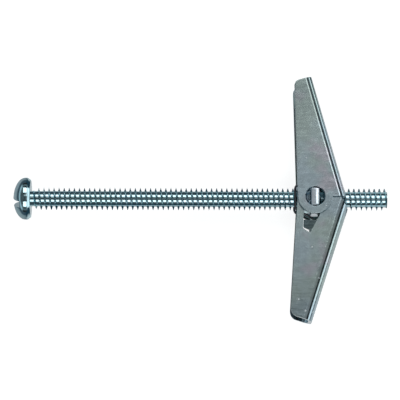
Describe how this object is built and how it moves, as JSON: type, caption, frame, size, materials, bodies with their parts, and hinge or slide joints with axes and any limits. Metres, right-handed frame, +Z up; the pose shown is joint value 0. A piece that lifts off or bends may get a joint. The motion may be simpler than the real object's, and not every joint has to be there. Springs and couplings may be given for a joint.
{
  "type": "spring toggle bolt",
  "caption": "Slotted round head machine screw with a stamped nut and hinged, spring-loaded sheet wings that fold to pass a drilled hole and open behind a hollow wall.",
  "frame": {"origin": "centre of the screw head's bearing face, on the screw's axis", "axes": "+X along the screw from the head to the tip, +Y towards the outer wing, +Z up as the bolt lies"},
  "size_m": [0.0777, 0.0512, 0.0096],
  "materials": {
    "screw_zinc": "bright clear zinc on a rolled thread",
    "nut_zinc": "bright clear zinc on a sheared strip",
    "wing_zinc": "smooth clear zinc on folded sheet",
    "spring_wire": "dark oiled spring wire"
  },
  "bodies": {
    "screw": {"machine_screw": "screw_zinc"},
    "nut": {"trunnion_nut": "nut_zinc", "spring": "spring_wire"},
    "outer_wing": {"outer_wing": "wing_zinc"},
    "inner_wing": {"inner_wing": "wing_zinc"}
  },
  "joints": [
    {"name": "nut_travel", "type": "slide", "parent": "screw", "child": "nut", "axis": [1, 0, 0], "range_m": [-0.031, 0.014]},
    {"name": "outer_wing_fold", "type": "hinge", "parent": "nut", "child": "outer_wing", "pos_m": [0.059, 0, 0], "axis": [0, 0, 1], "range_deg": [0, 80], "stiffness_Nm_per_rad": 0.015, "springref_deg": -34.38, "deforming": ["spring"]},
    {"name": "inner_wing_fold", "type": "hinge", "parent": "nut", "child": "inner_wing", "pos_m": [0.059, 0, 0], "axis": [0, 0, -1], "range_deg": [0, 80], "stiffness_Nm_per_rad": 0.015, "springref_deg": -34.38, "deforming": ["spring"]}
  ]
}
